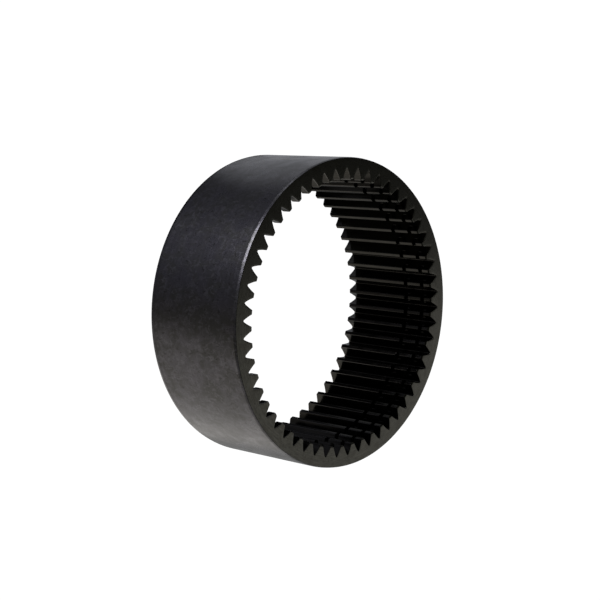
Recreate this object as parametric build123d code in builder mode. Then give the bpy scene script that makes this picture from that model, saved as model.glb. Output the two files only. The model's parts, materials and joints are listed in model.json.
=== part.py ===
# Internal ring gear of a planetary drive: one turned steel ring with straight involute teeth
# inside it. The ring lies on its rear end, with the gear axis on +Z and the origin at the
# centre of the rear end. The front end, at the top, has two grooves across the teeth for the
# retaining rings that hold the toothed carrier plate between them.

import os
from math import acos, cos, degrees, pi, radians, sin, tan

from build123d import *

# Driving dimensions, in millimetres, degrees and modules.

# Teeth
module = 3.5
tooth_count = 54
pressure_angle = 25.0
profile_shift = 0.2  # modules; widens the spaces at the pitch circle
addendum = 2.8  # from the pitch circle in to the tooth tips: a module less the profile shift
root_fillet = 0.8  # one arc rounds the whole root of a space
tip_break = 0.4  # small flat along each tip corner, radially

# Rim
face_width = 81.5
rim_height = 12.5  # from the pitch circle out to the ring's outer surface
lead_in_length = 2.0  # slim taper at both outer edges, for pressing in
lead_in_angle = 12.0

# Ends of the bore
tip_chamfer = 0.8  # turned on the tooth tips at both ends
relief_depth = 2.0  # the teeth stop this far inside the rear end
relief_clearance = 1.4  # radial, from the root circle out to the relief's wall
relief_chamfer = 0.6

# Retaining ring grooves, counted from the front end
groove_width = 3.15
groove_depth = 3.8  # from the tooth tips
groove_inset = 6.4  # from the front end to the near wall of the first groove
groove_spacing = 15.15  # from one groove to the next
groove_count = 2

# Tooling
cutter_overrun = 1.0  # how far each cut reaches past the metal it removes
flank_points = 5  # points of the involute that the flank's curve passes through
newton_steps = 8  # rounds that find an angle from its involute


# Tooth geometry. A space of an internal gear has the shape of an external gear's tooth: its
# half angle shrinks outward by the involute function.


def involute(angle):
    """The involute function of an angle in radians."""
    return tan(angle) - angle


def involute_inverse(value):
    """The angle in radians whose involute function has this value, by Newton's rule."""
    angle = (3 * value) ** (1 / 3)
    for _ in range(newton_steps):
        angle -= (involute(angle) - value) / tan(angle) ** 2
    return angle


pitch_radius = module * tooth_count / 2
base_radius = pitch_radius * cos(radians(pressure_angle))
tip_radius = pitch_radius - addendum
space_width = module * (pi / 2 + 2 * profile_shift * tan(radians(pressure_angle)))
base_half_angle = space_width / (2 * pitch_radius) + involute(radians(pressure_angle))

# The root arc touches both flanks. Its centre lies on the involute that is the flank moved
# inward by the arc's radius, which is the same curve turned about the gear's axis.
root_arc_angle = involute_inverse(base_half_angle - root_fillet / base_radius)
root_arc_centre = base_radius / cos(root_arc_angle)
root_radius = root_arc_centre + root_fillet
flank_end = (
    root_arc_centre + root_fillet * sin(root_arc_angle),
    root_fillet * cos(root_arc_angle),
)

outer_radius = pitch_radius + rim_height
relief_radius = root_radius + relief_clearance
lead_in_depth = lead_in_length * tan(radians(lead_in_angle))


def flank_point(radius):
    """The point of a space's upper flank at this radius, with the space centred on +X."""
    half_angle = base_half_angle - involute(acos(base_radius / radius))
    return (radius * cos(half_angle), radius * sin(half_angle))


def mirrored(point):
    """The same point on the lower side of the space."""
    return (point[0], -point[1])


flank_start_radius = tip_radius + tip_break
flank_end_radius = (flank_end[0] ** 2 + flank_end[1] ** 2) ** 0.5
flank_step = (flank_end_radius - flank_start_radius) / (flank_points - 1)
upper_flank = [flank_point(flank_start_radius + i * flank_step) for i in range(flank_points)]
lower_flank = [mirrored(point) for point in upper_flank]

# The flat on the tip corner runs on at 45 degrees until it is clear of the bore.
corner_run = tip_break + cutter_overrun
upper_corner = (upper_flank[0][0] - corner_run, upper_flank[0][1] + corner_run)
lower_corner = mirrored(upper_corner)


# The ring

with BuildPart() as ring_gear:
    # Turned blank: the section of the rim, from the axis outward along X.
    with BuildSketch(Plane.XZ):
        with BuildLine():
            Polyline(
                (relief_radius + relief_chamfer, 0),
                (outer_radius - lead_in_depth, 0),
                (outer_radius, lead_in_length),
                (outer_radius, face_width - lead_in_length),
                (outer_radius - lead_in_depth, face_width),
                (tip_radius + tip_chamfer, face_width),
                (tip_radius, face_width - tip_chamfer),
                (tip_radius, relief_depth + tip_chamfer),
                (tip_radius + tip_chamfer, relief_depth),
                (relief_radius, relief_depth),
                (relief_radius, relief_chamfer),
                close=True,
            )
        make_face()
    revolve(axis=Axis.Z)

    # Grooves for the retaining rings, turned before the teeth are cut.
    first_groove = face_width - groove_inset - groove_width / 2
    with BuildSketch(Plane.XZ):
        for i in range(groove_count):
            with Locations((tip_radius - cutter_overrun, first_groove - i * groove_spacing)):
                Rectangle(
                    groove_depth + cutter_overrun,
                    groove_width,
                    align=(Align.MIN, Align.CENTER),
                )
    revolve(axis=Axis.Z, mode=Mode.SUBTRACT)

    # Tooth spaces, cut straight through the whole width.
    with BuildSketch(Plane.XY) as tooth_space:
        with BuildLine():
            Spline(*lower_flank)
            ThreePointArc(lower_flank[-1], (root_radius, 0), upper_flank[-1])
            Spline(*upper_flank)
            Polyline(upper_flank[0], upper_corner, lower_corner, lower_flank[0])
        make_face()
    with BuildSketch(Plane.XY):
        with PolarLocations(0, tooth_count):
            add(tooth_space.sketch)
    extrude(amount=face_width, mode=Mode.SUBTRACT)

ring_gear.part.label = "ring_gear"


# Output

os.makedirs("parts", exist_ok=True)
export_step(ring_gear.part, "parts/ring_gear.step")

print(f"outer diameter {2 * outer_radius:.3f} mm, face width {face_width:.2f} mm")
print(f"tip diameter {2 * tip_radius:.3f} mm, root diameter {2 * root_radius:.3f} mm")
print(f"pitch diameter {2 * pitch_radius:.3f} mm, base diameter {2 * base_radius:.3f} mm")
print(f"root arc touches the flanks at radius {flank_end_radius:.3f} mm")
print(f"tooth pitch {degrees(2 * pi / tooth_count):.3f} degrees")
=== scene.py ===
# %% [markdown]
# # An internal ring gear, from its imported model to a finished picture
#
# The object is the annulus of a planetary final drive: a broad ring of blackened steel with 54
# straight teeth inside it and two grooves for retaining rings turned across the teeth. It is one
# piece of metal, so the lesson is about two things: how a toothed form can be worked out as one
# closed surface, and how dark steel is made to look like steel by what it mirrors.
#
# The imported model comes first, because it is the truth about size and place. Its box is kept, so
# that the finished piece can be compared with it at the end.

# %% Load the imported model
import json

import bpy
import numpy as np
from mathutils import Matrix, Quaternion, Vector


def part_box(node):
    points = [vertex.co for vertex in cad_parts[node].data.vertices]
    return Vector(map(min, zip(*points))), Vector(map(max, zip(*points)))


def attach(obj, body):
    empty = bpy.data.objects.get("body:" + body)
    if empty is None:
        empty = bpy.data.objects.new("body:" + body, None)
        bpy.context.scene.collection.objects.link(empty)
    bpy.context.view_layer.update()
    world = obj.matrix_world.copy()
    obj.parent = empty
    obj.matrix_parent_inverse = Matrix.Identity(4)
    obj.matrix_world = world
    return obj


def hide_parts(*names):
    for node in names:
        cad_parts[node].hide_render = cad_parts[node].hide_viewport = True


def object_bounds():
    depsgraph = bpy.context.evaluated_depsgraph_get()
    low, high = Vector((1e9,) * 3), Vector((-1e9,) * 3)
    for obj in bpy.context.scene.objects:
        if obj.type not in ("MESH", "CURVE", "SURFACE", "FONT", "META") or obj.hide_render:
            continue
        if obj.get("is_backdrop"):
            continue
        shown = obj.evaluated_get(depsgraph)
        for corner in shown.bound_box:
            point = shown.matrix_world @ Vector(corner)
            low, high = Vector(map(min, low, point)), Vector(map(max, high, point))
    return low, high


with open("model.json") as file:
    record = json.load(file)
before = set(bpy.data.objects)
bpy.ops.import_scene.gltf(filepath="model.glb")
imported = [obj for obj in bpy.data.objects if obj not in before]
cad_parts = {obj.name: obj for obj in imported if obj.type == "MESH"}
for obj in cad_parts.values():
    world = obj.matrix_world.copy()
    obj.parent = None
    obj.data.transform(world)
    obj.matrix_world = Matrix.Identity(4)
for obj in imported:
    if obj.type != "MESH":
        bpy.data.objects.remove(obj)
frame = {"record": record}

cad_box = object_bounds()
record = frame["record"]
print("packed box, in metres:", [[round(float(v), 5) for v in corner] for corner in cad_box])

# %% [markdown]
# ## Sizes
#
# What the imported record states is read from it: the ring's outer radius, its width, and the place,
# width and depth of the two grooves. The tooth form is not in the record as numbers, so the gear
# data is written here once, as it stands on a gear drawing: module, tooth count, pressure angle and
# profile shift. All lengths in this lesson are in millimetres until the mesh is made.

# %% Sizes from the record and from the gear drawing
MM = 0.001
ring_low, ring_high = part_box("ring_gear")
width = (ring_high[2] - ring_low[2]) / MM
mounts = {mount["name"]: mount for mount in record["mounts"]}
outer_radius = mounts["outer_seat"]["dims"]["r_mm"]
groove_radius = mounts["front_ring_groove"]["dims"]["r_mm"]
groove_width = mounts["front_ring_groove"]["dims"]["length_mm"]
groove_heights = [
    mounts[name]["pos_m"][2] / MM for name in ("front_ring_groove", "rear_ring_groove")
]

module = 3.5
tooth_count = 54
pressure_angle = np.radians(25.0)
profile_shift = 0.2
addendum = 2.8
root_fillet = 0.8
tip_break = 0.4

lead_in_length = 2.0
lead_in_angle = np.radians(12.0)
lead_in_depth = lead_in_length * np.tan(lead_in_angle)
tip_chamfer = 0.8
relief_depth = 2.0
relief_clearance = 1.4
relief_chamfer = 0.6
edge_round = 0.12
print("outer radius", outer_radius, "width", round(width, 3), "grooves at", groove_heights)

# %% [markdown]
# ## The outline of the teeth
#
# A space of an internal gear has the outline of an external gear's tooth. Both flanks are
# involutes: the curve that the end of a taut string draws as it unwinds from the base circle. The
# root is one arc that touches both flanks. A shaper cutter leaves just this outline.
#
# It could be drawn as a few dozen points per tooth, or cut from a disc with booleans. Here the
# outline is a function: it gives radius and angle for each station along one pitch. Because the
# radius never doubles back as the angle grows, grooves and chamfers can later be made by nothing
# more than a lower limit on that radius.

# %% The outline of one pitch, and of the whole bore
newton_steps = 8
root_stations, flank_stations, tip_stations = 6, 8, 3
pitch_radius = module * tooth_count / 2
base_radius = pitch_radius * np.cos(pressure_angle)
tip_radius = pitch_radius - addendum
pitch_turn = 2 * np.pi / tooth_count


def involute(angle):
    """The involute function: the tangent of an angle, less the angle."""
    return np.tan(angle) - angle


def involute_inverse(value):
    """The angle whose involute is this value, by a few rounds of Newton's rule."""
    angle = (3 * value) ** (1 / 3)
    for _ in range(newton_steps):
        angle -= (involute(angle) - value) / np.tan(angle) ** 2
    return angle


space_width = module * (np.pi / 2 + 2 * profile_shift * np.tan(pressure_angle))
base_half_angle = space_width / (2 * pitch_radius) + involute(pressure_angle)
arc_angle = involute_inverse(base_half_angle - root_fillet / base_radius)
arc_centre = base_radius / np.cos(arc_angle)
root_radius = arc_centre + root_fillet


def half_space_angle(radius):
    """Half the angle of a space at a radius: the half angle at the base circle, less the involute
    of the pressure angle there."""
    return base_half_angle - involute(np.arccos(base_radius / radius))


def half_outline():
    """Radius and angle from the middle of a space to the middle of the next tooth's tip.

    The root arc is its centre plus the fillet radius turned from straight out to the flank's
    normal. The flank is the involute between its end on the arc and the tip corner. The corner is
    a small flat at 45 degrees, and the tip is part of a circle about the gear's axis.
    """
    turn = np.linspace(np.pi / 2, arc_angle, root_stations)
    x = arc_centre + root_fillet * np.sin(turn)
    y = root_fillet * np.cos(turn)
    arc_r, arc_a = np.hypot(x, y), np.arctan2(y, x)

    flank_r = np.linspace(arc_r[-1], tip_radius + tip_break, flank_stations + 1)[1:]
    flank_a = half_space_angle(flank_r)

    corner_r = tip_radius + tip_break * np.array([0.55, 0.2, 0.0])
    corner_a = flank_a[-1] + tip_break / tip_radius * np.array([0.38, 0.72, 1.12])

    tip_a = np.linspace(corner_a[-1], pitch_turn / 2, tip_stations + 1)[1:]
    tip_r = np.full(tip_stations, tip_radius)
    return (
        np.concatenate([arc_r, flank_r, corner_r, tip_r]),
        np.concatenate([arc_a, flank_a, corner_a, tip_a]),
    )


def bore_outline():
    """Radius and angle all round the bore: the half outline, its mirror image, and both repeated
    once per tooth. The first space is centred on +X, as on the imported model."""
    half_r, half_a = half_outline()
    pitch_r = np.concatenate([half_r, half_r[-2:0:-1]])
    pitch_a = np.concatenate([half_a, pitch_turn - half_a[-2:0:-1]])
    turns = np.arange(tooth_count)[:, None] * pitch_turn
    return np.tile(pitch_r, tooth_count), (pitch_a[None, :] + turns).ravel()


outline_radius, outline_angle = bore_outline()
print("stations round the bore:", outline_radius.size)
print("root radius", round(root_radius, 3), "tip radius", tip_radius)

# %% [markdown]
# ## The ring as one closed surface
#
# Cut the ring along a plane through its axis and the cut face has one outline: along the front
# end, down the outside, across the rear end and up the bore. Carry that outline round the axis and
# it draws the whole ring. The surface is therefore a grid: one parameter runs round the section,
# the other round the axis, and both close on themselves, so there is no seam and no pole.
#
# Each row of the grid is a height and a rule for the radius. Rows of the outside have a constant
# radius. Rows of the bore take the tooth outline, but never less than some limit: the groove's
# bottom in a groove, a little more than the tip circle where the tooth ends are chamfered. Rows of
# the flat front and of the step at the rear go evenly from one rule to the other.
#
# The edges get small rounds, because no real edge is a perfect corner, and the light on that round
# is what makes an edge show. They start 0.12 mm from the corner in the bore, 0.25 mm from it at the
# outer rims, and 0.5 mm from it where the lead-in meets the outside.

# %% Rows of the section
OUTSIDE, ENDS, TEETH = 0, 1, 2
rim_round = 0.25
shoulder_round = 0.5
wall_lean = 0.03
land_start = 1.0
section = []


def bore_row(height, least, zone=TEETH):
    """A row that follows the teeth: the tooth outline, but no radius below the given limit."""
    section.append((zone, height, np.maximum(outline_radius, least)))


def round_row(height, radius, zone=OUTSIDE):
    """A row that is a plain circle about the axis."""
    section.append((zone, height, np.full_like(outline_radius, radius)))


def between_row(height, least, radius, share):
    """A row on a flat end: a share of the way from the tooth outline to a plain circle."""
    inner = np.maximum(outline_radius, least)
    section.append((ENDS, height, inner + (radius - inner) * share))


def round_corner(before, corner, after, size, zone=OUTSIDE, next_zone=OUTSIDE):
    """Three plain circles that round a corner of the section: one on the line before it, one
    pulled in from the corner by half of the round, and one on the line after it, where the
    next zone starts."""
    before, corner, after = (np.array(p, float) for p in (before, corner, after))
    start = corner + (before - corner) * size / np.linalg.norm(before - corner)
    end = corner + (after - corner) * size / np.linalg.norm(after - corner)
    middle = (start + 2 * corner + end) / 4
    for (radius, height), row_zone in zip((start, middle, end), (zone, zone, next_zone)):
        round_row(height, radius, row_zone)


def groove_rows(middle):
    """A groove from its upper to its lower wall: the limit drops to the groove's bottom radius
    between the walls, and the lips at the tooth tips are broken by the edge round. The walls lean
    by a few hundredths of a millimetre: two rows at one height would make faces without area where
    both follow the tooth outline."""
    upper, lower = middle + groove_width / 2, middle - groove_width / 2
    bore_row(upper + edge_round, tip_radius)
    bore_row(upper, tip_radius + edge_round)
    bore_row(upper - wall_lean, groove_radius - edge_round)
    bore_row(upper - edge_round, groove_radius)
    bore_row(lower + edge_round, groove_radius)
    bore_row(lower + wall_lean, groove_radius - edge_round)
    bore_row(lower, tip_radius + edge_round)
    bore_row(lower - edge_round, tip_radius)


relief_radius = root_radius + relief_clearance
front_rim = (outer_radius - lead_in_depth, width)
front_shoulder = (outer_radius, width - lead_in_length)
rear_shoulder = (outer_radius, lead_in_length)
rear_rim = (outer_radius - lead_in_depth, 0.0)
relief_mouth = (relief_radius + relief_chamfer, 0.0)
relief_wall_top = (relief_radius, relief_chamfer)
relief_corner = (relief_radius, relief_depth)

# Front end, from the tooth ends outward, then down the outside and in to the relief.
chamfer_edge = tip_radius + tip_chamfer
for share in (0.02, 0.3, 0.6):
    between_row(width, chamfer_edge + edge_round, outer_radius, share)
round_corner((root_radius, width), front_rim, front_shoulder, rim_round)
round_corner(front_rim, front_shoulder, rear_shoulder, shoulder_round)
round_corner(front_shoulder, rear_shoulder, rear_rim, shoulder_round)
round_corner(rear_shoulder, rear_rim, relief_mouth, rim_round, OUTSIDE, ENDS)
round_corner(rear_rim, relief_mouth, relief_wall_top, edge_round, ENDS, ENDS)
round_corner(relief_mouth, relief_wall_top, relief_corner, edge_round, ENDS, ENDS)
round_corner(relief_wall_top, relief_corner, (root_radius, relief_depth), edge_round, ENDS, ENDS)

# Rear tooth ends, up the bore past both grooves, and over the edge to the front end.
between_row(relief_depth, chamfer_edge + edge_round, relief_radius, 0.05)
bore_row(relief_depth + edge_round, chamfer_edge - edge_round, ENDS)
bore_row(relief_depth + tip_chamfer, tip_radius)
bore_row(relief_depth + land_start, tip_radius)
for middle in sorted(groove_heights):
    rows_before = len(section)
    groove_rows(middle)
    section[rows_before:] = section[rows_before:][::-1]
bore_row(width - land_start, tip_radius)
bore_row(width - tip_chamfer, tip_radius, ENDS)
bore_row(width - edge_round, chamfer_edge - edge_round, ENDS)
print("rows round the section:", len(section))

# %% [markdown]
# The grid becomes a mesh in one go. A vertex normal is the sum of its four faces' cross products,
# so a large flat face outweighs the thin faces of an edge round: flats stay flat, and the whole
# change of direction falls on the round.

# %% The mesh of the ring
def closed_grid_mesh(name, points):
    """A mesh from a grid of points that closes in both directions. The four corners of a face are
    the point, its neighbour along the row, the one above that, and the one above the point."""
    rows, columns = points.shape[:2]
    index = np.arange(rows * columns).reshape(rows, columns)
    along = np.roll(index, -1, axis=1)
    faces = np.stack([index, np.roll(index, -1, axis=0), np.roll(along, -1, axis=0), along], -1)
    mesh = bpy.data.meshes.new(name)
    mesh.from_pydata(points.reshape(-1, 3), [], faces.reshape(-1, 4))
    mesh.polygons.foreach_set("use_smooth", np.ones(len(mesh.polygons), dtype=bool))

    here = points
    right = np.roll(points, -1, axis=1)
    above = np.roll(points, -1, axis=0)
    across = np.roll(right, -1, axis=0)
    area = np.cross(above - right, across - here)
    around = area + np.roll(area, 1, axis=0)
    normals = around + np.roll(around, 1, axis=1)
    normals /= np.linalg.norm(normals, axis=2, keepdims=True)
    mesh.normals_split_custom_set_from_vertices(normals.reshape(-1, 3))
    mesh.validate()
    return mesh


zones = np.array([zone for zone, _, _ in section])
heights = np.array([height for _, height, _ in section])
radii = np.array([radius for _, _, radius in section])
grid = np.stack(
    [
        radii * np.cos(outline_angle),
        radii * np.sin(outline_angle),
        np.repeat(heights[:, None], outline_angle.size, axis=1),
    ],
    axis=-1,
)
ring_mesh = closed_grid_mesh("toothed_ring", grid * MM)
ring_mesh.polygons.foreach_set("material_index", np.repeat(zones, outline_angle.size))
ring = bpy.data.objects.new("toothed_ring", ring_mesh)
bpy.context.scene.collection.objects.link(ring)
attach(ring, "root")
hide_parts("ring_gear")
print("faces:", len(ring_mesh.polygons), "triangles:", 2 * len(ring_mesh.polygons))

# %% [markdown]
# ## Blackened steel
#
# The ring is blackened and oiled, so nearly all of its light is mirrored, and little of that: about
# four parts in a hundred face on, and most of it at a grazing angle. A metal with a very dark base
# colour behaves just so. What tells steel from black paint is the small unevenness of that mirror,
# and it differs with how each face was made: the outside is turned, handled and pressed, the ends
# are faced on a lathe, and the teeth are cut by strokes along the axis.
#
# Scanned images of steel could be wrapped on instead, but they would need a layout and would show
# seams. Here every pattern is looked up in the object's own coordinates, divided by a length along
# each axis. A long length along one axis draws the pattern out into streaks that way, and because
# the space is solid there is no seam anywhere.

# %% Tools: places on the object
def vector_math(tree, operation, first, second=None):
    """A vector operation on a link or a constant, and its vector output."""
    node = tree.nodes.new("ShaderNodeVectorMath")
    node.operation = operation
    for socket, value in zip(node.inputs, (first, second)):
        if isinstance(value, bpy.types.NodeSocket):
            tree.links.new(value, socket)
        elif value is not None:
            socket.default_value = value
    return node.outputs["Value" if operation == "LENGTH" else "Vector"]


def scalar_math(tree, operation, first, second=0.0):
    """An operation on two numbers, each a link or a constant."""
    node = tree.nodes.new("ShaderNodeMath")
    node.operation = operation
    for socket, value in zip(node.inputs, (first, second)):
        if isinstance(value, bpy.types.NodeSocket):
            tree.links.new(value, socket)
        else:
            socket.default_value = value
    return node.outputs[0]


def object_space(tree):
    """The place on the object, in metres."""
    return tree.nodes.new("ShaderNodeTexCoord").outputs["Object"]


def height_of(tree):
    """The height on the object, in metres."""
    split = tree.nodes.new("ShaderNodeSeparateXYZ")
    tree.links.new(object_space(tree), split.inputs[0])
    return split.outputs["Z"]


def radius_of(tree):
    """The distance from the object's axis, in metres."""
    return vector_math(tree, "LENGTH", vector_math(tree, "MULTIPLY", object_space(tree), (1, 1, 0)))


def stretched(tree, lengths):
    """The place on the object divided by a length in millimetres along each axis."""
    return vector_math(tree, "DIVIDE", object_space(tree), [length * MM for length in lengths])


def lathe_space(tree, feed, pitch, arc):
    """A space for lathe marks. Along Z it is the way the tool has been fed, divided by the pitch
    of the marks. Along X and Y it is the direction from the axis times a number, so that the marks
    change slowly round a turn."""
    way = radius_of(tree) if feed == "inward" else height_of(tree)
    along = tree.nodes.new("ShaderNodeCombineXYZ")
    tree.links.new(way, along.inputs["Z"])
    marks = vector_math(tree, "DIVIDE", along.outputs[0], (1, 1, pitch * MM))
    flat = vector_math(tree, "MULTIPLY", object_space(tree), (1, 1, 0))
    direction = vector_math(tree, "MULTIPLY", vector_math(tree, "NORMALIZE", flat), (arc, arc, 0))
    return vector_math(tree, "ADD", marks, direction)


# %% Tools: patterns, and what is made of them
def cloud(tree, space, detail=2.0, roughness=0.5, distortion=0.0):
    """A noise pattern round 0.5 whose blobs are about one unit of the space across."""
    node = tree.nodes.new("ShaderNodeTexNoise")
    node.inputs["Scale"].default_value = 1.0
    node.inputs["Detail"].default_value = detail
    node.inputs["Roughness"].default_value = roughness
    node.inputs["Distortion"].default_value = distortion
    tree.links.new(space, node.inputs["Vector"])
    return node.outputs["Fac"]


def remap(tree, value, low, high, out_low, out_high):
    """A value between two limits, mapped smoothly to between two others and held there."""
    node = tree.nodes.new("ShaderNodeMapRange")
    node.interpolation_type = "SMOOTHSTEP"
    for name, number in (("From Min", low), ("From Max", high), ("To Min", out_low),
                         ("To Max", out_high)):
        node.inputs[name].default_value = number
    tree.links.new(value, node.inputs["Value"])
    return node.outputs["Result"]


def near(tree, length, middle, inner, outer, most):
    """A share that is highest where a length is within the inner distance of a middle value, and 0
    beyond the outer distance. All but the length itself are in millimetres."""
    gap = scalar_math(tree, "ABSOLUTE", scalar_math(tree, "SUBTRACT", length, middle * MM))
    return remap(tree, gap, inner * MM, outer * MM, most, 0)


def blend(tree, share, first, second):
    """The first colour where the share is 0, and the second where it is 1."""
    node = tree.nodes.new("ShaderNodeMix")
    node.data_type = "RGBA"
    tree.links.new(share, node.inputs["Factor"])
    for socket, value in ((node.inputs["A"], first), (node.inputs["B"], second)):
        if isinstance(value, bpy.types.NodeSocket):
            tree.links.new(value, socket)
        else:
            socket.default_value = (*value, 1.0)
    return node.outputs["Result"]


def roughen(tree, metal, height, depth, strength):
    """A bump from a height pattern, with its depth in millimetres."""
    node = tree.nodes.new("ShaderNodeBump")
    node.inputs["Distance"].default_value = depth * MM
    node.inputs["Strength"].default_value = strength
    tree.links.new(height, node.inputs["Height"])
    tree.links.new(node.outputs["Normal"], metal.inputs["Normal"])


def new_metal(name, roughness):
    """A material with a metallic Principled shader, and that shader."""
    material = bpy.data.materials.new(name)
    material.use_nodes = True
    metal = material.node_tree.nodes["Principled BSDF"]
    metal.inputs["Metallic"].default_value = 1.0
    metal.inputs["Roughness"].default_value = roughness
    return material, metal


# %% [markdown]
# ### The outside
#
# A black oxide bath leaves clouds where the oxide and the oil lie thicker. Over them lie a finer
# mottling from handling, faint turning marks that run round the ring, a few short scratches along
# the axis from pressing it into its housing, and small dark specks. On the two edges of the lead-in
# the black has been rubbed thin, so they are a little lighter in places. The last three millimetres
# at the rear are made darker.

# %% The outside
thick_oxide, thin_oxide = (0.029, 0.029, 0.0275), (0.047, 0.046, 0.051)
handled, turned_line = (0.064, 0.063, 0.069), (0.022, 0.022, 0.022)
scratched, dark_speck = (0.10, 0.10, 0.105), (0.015, 0.0145, 0.0135)
rubbed_edge, rear_band_dark = (0.085, 0.083, 0.083), (0.016, 0.016, 0.018)
outside, metal = new_metal("blackened_outside", 0.3)
tree = outside.node_tree
clouds = cloud(tree, stretched(tree, (13, 13, 17)), 5.0, 0.62, 0.7)
mottle = cloud(tree, stretched(tree, (3.4, 3.4, 4.4)), 3.0, 0.68, 0.9)
marks = cloud(tree, lathe_space(tree, "along", 1.5, 5.0), 3.0, 0.6)
scratches = cloud(tree, stretched(tree, (0.5, 0.5, 9)), 1.0, 0.5)
specks = cloud(tree, stretched(tree, (2.0, 2.0, 2.6)), 2.0, 0.6, 0.5)

colour = blend(tree, remap(tree, clouds, 0.36, 0.64, 0, 1), thick_oxide, thin_oxide)
colour = blend(tree, remap(tree, mottle, 0.47, 0.66, 0, 0.7), colour, handled)
colour = blend(tree, remap(tree, marks, 0.35, 0.65, 0.22, 0), colour, turned_line)
colour = blend(tree, remap(tree, scratches, 0.70, 0.78, 0, 0.5), colour, scratched)
colour = blend(tree, remap(tree, specks, 0.61, 0.70, 0, 0.7), colour, dark_speck)
for edge in (front_shoulder[1], rear_shoulder[1]):
    rubbed = scalar_math(tree, "MULTIPLY", near(tree, height_of(tree), edge, 0.1, 0.5, 0.5),
                         remap(tree, mottle, 0.4, 0.65, 0, 1))
    colour = blend(tree, rubbed, colour, rubbed_edge)
# The outside is made darker over its last few millimetres at the rear end.
rear_band_share = near(tree, height_of(tree), 0.0, 2.2, 4.2, 0.4)
colour = blend(tree, rear_band_share, colour, rear_band_dark)
tree.links.new(colour, metal.inputs["Base Color"])
tree.links.new(remap(tree, clouds, 0.3, 0.7, 0.35, 0.26), metal.inputs["Roughness"])
roughen(tree, metal, mottle, 0.02, 0.15)
print("outside:", len(tree.nodes), "nodes")

# %% [markdown]
# ### The ends
#
# The ends are faced on a lathe. The tool leaves fine circles about the axis, and they catch the
# light as faint rings that change along each turn. Oil has dried on them in small brownish stains.
# The little chamfers at the mouth of the teeth are turned in the same setting and look the same.

# %% The ends
grain_dark, grain_light = (0.033, 0.0325, 0.029), (0.052, 0.051, 0.046)
dried_oil, dark_speck = (0.031, 0.029, 0.025), (0.012, 0.011, 0.010)
ends, metal = new_metal("turned_end", 0.3)
tree = ends.node_tree
grain = cloud(tree, lathe_space(tree, "inward", 0.6, 14.0), 3.0, 0.7)
stains = cloud(tree, stretched(tree, (5, 5, 5)), 4.0, 0.7, 0.5)
specks = cloud(tree, stretched(tree, (1.0, 1.0, 1.0)), 2.0, 0.6)
colour = blend(tree, remap(tree, grain, 0.32, 0.68, 0, 1), grain_dark, grain_light)
colour = blend(tree, remap(tree, stains, 0.45, 0.7, 0, 0.6), colour, dried_oil)
colour = blend(tree, remap(tree, specks, 0.6, 0.7, 0, 0.6), colour, dark_speck)
tree.links.new(colour, metal.inputs["Base Color"])
tree.links.new(remap(tree, grain, 0.3, 0.7, 0.34, 0.26), metal.inputs["Roughness"])
roughen(tree, metal, grain, 0.01, 0.2)
print("ends:", len(tree.nodes), "nodes")

# %% [markdown]
# ### The teeth
#
# A shaper cutter leaves fine marks along the axis, and the black oxide is thickest here, where
# nothing has rubbed it. So the teeth are the darkest part, and smoother than the rest. The narrow
# flats that break the tip corners are painted lighter, as a painted highlight along each tooth's
# tip. The teeth in and near the two grooves are darkened with painted shade. A dark specular tint
# holds back the bright grazing mirror, which the thick oxide has lost.

# %% The teeth
stroke_dark, stroke_light = (0.0215, 0.021, 0.0185), (0.0315, 0.031, 0.0275)
heavy_oxide, tip_highlight_colour = (0.017, 0.017, 0.0155), (0.07, 0.07, 0.067)
groove_shade_colour = (0.005, 0.005, 0.005)
corner_middle = tip_radius + 0.28
teeth, metal = new_metal("cut_teeth", 0.17)
metal.inputs["Specular Tint"].default_value = (0.6, 0.6, 0.6, 1.0)
tree = teeth.node_tree
strokes = cloud(tree, stretched(tree, (0.5, 0.5, 20)), 2.0, 0.6)
oxide = cloud(tree, stretched(tree, (5, 5, 9)), 3.0, 0.6)
colour = blend(tree, remap(tree, strokes, 0.35, 0.7, 0, 1), stroke_dark, stroke_light)
colour = blend(tree, remap(tree, oxide, 0.4, 0.7, 0, 0.5), colour, heavy_oxide)
# The lighter colour on the narrow tip corner flats is a painted highlight along each tooth's tip.
tip_highlight_share = scalar_math(tree, "MULTIPLY", near(tree, radius_of(tree), corner_middle, 0.08, 0.22, 0.8),
                   remap(tree, oxide, 0.35, 0.65, 0.4, 1))
colour = blend(tree, tip_highlight_share, colour, tip_highlight_colour)
# The darkening of the teeth in and near each groove is painted shade.
for middle in groove_heights:
    groove_shade_share = near(tree, height_of(tree), middle, 1.3, 2.6, 0.6)
    colour = blend(tree, groove_shade_share, colour, groove_shade_colour)
tree.links.new(colour, metal.inputs["Base Color"])
tree.links.new(remap(tree, oxide, 0.3, 0.7, 0.20, 0.14), metal.inputs["Roughness"])
roughen(tree, metal, strokes, 0.01, 0.2)
print("teeth:", len(tree.nodes), "nodes")

# %% [markdown]
# The three materials go on the mesh in the order of the zones that the section's rows were given.

# %% Materials on the mesh
for material in (outside, ends, teeth):
    ring_mesh.materials.append(material)
for zone, material in enumerate(ring_mesh.materials):
    print(material.name, "on", int((zones == zone).sum()), "rows of the section")

# %% [markdown]
# ## The floor
#
# The table and the room are white. A dark, mirroring ring beside white paper would pick up the
# paper everywhere, and in a studio it is kept off the paper and the paper is lit on its own. The
# floor here does the same: it shines evenly by itself, throws no light into the ring's mirror and
# takes no shadow.

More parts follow.
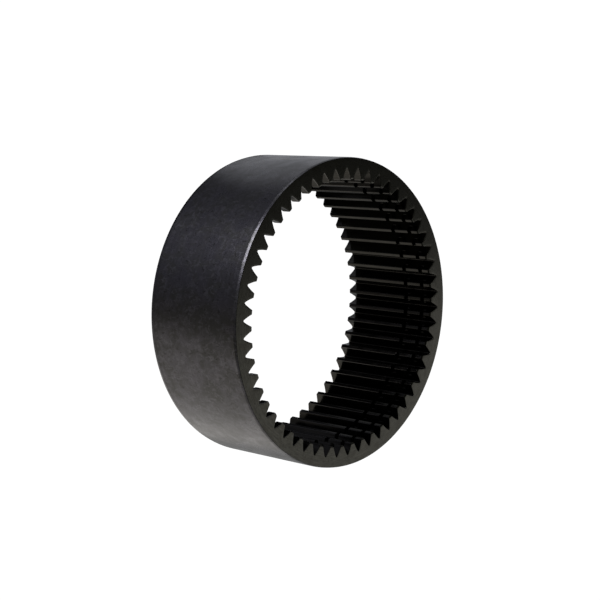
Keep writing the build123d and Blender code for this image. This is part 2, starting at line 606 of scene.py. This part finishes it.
# %% The floor
def even_sheet(name, x_range, y_range, height, material_name, strength):
    """A level rectangle that shines evenly by itself, or is plain black at strength 0."""
    (left, right), (back, front) = x_range, y_range
    corners = [(left, back, height), (right, back, height), (right, front, height),
               (left, front, height)]
    mesh = bpy.data.meshes.new(name)
    mesh.from_pydata(corners, [], [(0, 1, 2, 3)])
    paint = bpy.data.materials.new(material_name)
    paint.use_nodes = True
    nodes, links = paint.node_tree.nodes, paint.node_tree.links
    nodes.clear()
    out = nodes.new("ShaderNodeOutputMaterial")
    glow = nodes.new("ShaderNodeEmission")
    glow.inputs["Strength"].default_value = strength
    links.new(glow.outputs[0], out.inputs[0])
    mesh.materials.append(paint)
    sheet = bpy.data.objects.new(name, mesh)
    bpy.context.scene.collection.objects.link(sheet)
    return sheet


reach = 6.0
floor_strength = 1.05
floor = even_sheet("floor", (-reach, reach), (-reach, reach), 0, "white_floor", floor_strength)
floor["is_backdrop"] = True
floor.visible_glossy = False
floor.visible_shadow = False
print("floor:", 2 * reach, "m across, strength", floor_strength)

# %% [markdown]
# A small black card lies past the rear end, under the table. It is mainly the lower lands that see
# it, through the bore, and it keeps them nearly as black as the spaces between them.

# %% The black card
card_x = (-0.150, -0.012)
card_y = (-0.100, 0.085)
card_depth = 0.10
card = even_sheet("black_card", card_x, card_y, -card_depth, "black_card", 0.0)
card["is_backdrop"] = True
print("black card:", round((card_x[1] - card_x[0]) / MM), "by",
      round((card_y[1] - card_y[0]) / MM), "mm")

# %% [markdown]
# ## The room in the mirror
#
# Dark steel has no look of its own: it shows the room. The upright walls of the ring, seen from
# above, mirror what lies low round it, and the front end mirrors what lies high. So the room is
# drawn as three levels that run into each other. The low part is bluish on the near side, warmer
# towards +X, and dark on the far side towards -X. The level part is grey, a little darker at its
# top, and the high part is nearly black, so that the end stays darker than the outside.

# %% The room
world = bpy.data.worlds.new("studio")
bpy.context.scene.world = world
world.use_nodes = True
tree = world.node_tree
ray = tree.nodes.new("ShaderNodeSeparateXYZ")
tree.links.new(tree.nodes.new("ShaderNodeTexCoord").outputs["Generated"], ray.inputs[0])
x, y, z = (ray.outputs[name] for name in "XYZ")

bluish, warm = (0.25, 0.25, 0.305), (0.33, 0.29, 0.23)
far_dark, far_grey = (0.07, 0.07, 0.08), (0.40, 0.40, 0.40)
level_grey, upper_grey, nearly_black = (0.42, 0.42, 0.42), (0.28, 0.28, 0.27), (0.045, 0.047, 0.037)
near_side = blend(tree, remap(tree, x, -0.2, 0.25, 0, 0.6), bluish, warm)
far_side = blend(tree, remap(tree, x, -0.3, 0.3, 0, 1), far_dark, far_grey)
low = blend(tree, remap(tree, y, -0.4, 0.5, 0, 1), near_side, far_side)
level = blend(tree, remap(tree, y, -0.1, 0.5, 0, 1), level_grey, far_side)
room = blend(tree, remap(tree, z, -0.45, -0.15, 0, 1), low, level)
room = blend(tree, remap(tree, z, 0.1, 0.22, 0, 1), room, upper_grey)
room = blend(tree, remap(tree, z, 0.3, 0.5, 0, 1), room, nearly_black)
tree.links.new(room, tree.nodes["Background"].inputs["Color"])
print("room:", len(tree.nodes), "nodes")

# %% [markdown]
# ## Soft panels
#
# Five panels draw the highlights. A large low sheet brightens the outside towards +X and the lands
# of the teeth across from it. A small strong box makes the bright line on the lead-in, and a strip
# carries that line on. An upper sheet, close to the ring, lights the top of the outside but is
# hidden from the bore. An end sheet gives the front end its shading from dark to lighter.
#
# Radiance is what a mirror shows, so the panels are given by it. A flat panel's power is its
# radiance times its area times pi.

# %% Panels
aim_height = 0.05


def panel(name, place, back, turn, size, radiance, colour):
    """A soft rectangular light. Its back faces the given direction, it is turned about that
    direction by some degrees, and its power is radiance times area times pi."""
    light = bpy.data.lights.new(name, "AREA")
    light.shape = "RECTANGLE"
    light.size, light.size_y = size
    light.energy = radiance * size[0] * size[1] * np.pi
    light.color = colour
    lamp = bpy.data.objects.new(name, light)
    lamp.location = place
    spin = Quaternion((0, 0, 1), np.radians(turn))
    lamp.rotation_euler = (Vector(back).to_track_quat("Z", "Y") @ spin).to_euler()
    lamp.visible_camera = False
    bpy.context.scene.collection.objects.link(lamp)
    print(name, size, "m,", round(light.energy, 2), "W")


def panel_towards(name, toward, distance, size, radiance, colour):
    """A panel that faces the middle of the ring from a direction and a distance."""
    away = Vector(toward).normalized()
    place = Vector((0, 0, aim_height)) + away * distance
    panel(name, place, away, 0, size, radiance, colour)


panel_towards("low_sheet", (0.68, -0.17, -0.68), 1.2, (1.6, 1.1), 1.0, (1.0, 0.95, 0.9))
panel_towards("side_box", (-0.6, -0.75, -0.28), 1.3, (0.5, 0.42), 24.0, (0.92, 0.91, 1.0))
panel_towards("edge_strip", (-0.92, -0.03, -0.36), 1.3, (0.5, 0.2), 2.8, (0.93, 0.94, 1.0))
panel("upper_sheet", (-0.183, 0.172, -0.115), (-0.393, 0.31, -0.866), 0, (0.42, 0.16), 0.46,
      (0.92, 0.94, 1.0))
panel("end_sheet", (0.40, 0.676, 0.515), (0, 0.749, 0.662), 14.0, (0.8, 1.2), 1.0,
      (1.0, 0.985, 0.93))

# %% [markdown]
# ## The camera
#
# The ring is shown standing on its rim, as a catalogue would show it. It has not been moved: it
# lies on its rear end, and the camera looks down at it from a little over a metre away and is
# rolled by about a right angle. A long lens keeps the far rim nearly as large as the near one. No
# colour grading is put over it.

# %% The camera
camera_data = bpy.data.cameras.new("camera")
camera_data.lens = 88.146
camera_data.sensor_width = 36.0
camera_data.sensor_fit = "HORIZONTAL"
camera_data.clip_start = 0.01
camera = bpy.data.objects.new("camera", camera_data)
camera.location = (-0.05504, -0.75889, 0.74422)
camera.rotation_euler = np.radians((-7.219, -46.619, 96.142))
bpy.context.scene.collection.objects.link(camera)
bpy.context.scene.camera = camera
bpy.context.scene.view_settings.view_transform = "Standard"
print("camera:", round(camera.location.length, 3), "m from the ring,",
      round(float(np.degrees(camera_data.angle)), 1), "degrees wide")

# %% [markdown]
# ## The sizes at the end
#
# The finished piece stands in for the imported part, so its box must be the imported part's box. The
# largest difference of the two boxes is printed in millimetres.

# %% Compare the boxes and finish
visual_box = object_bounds()
boxes = np.array([[list(corner) for corner in box] for box in (cad_box, visual_box)], float)
difference = float(np.abs(boxes[1] - boxes[0]).max() / MM)
print("largest difference of the boxes, in mm:", round(difference, 4))
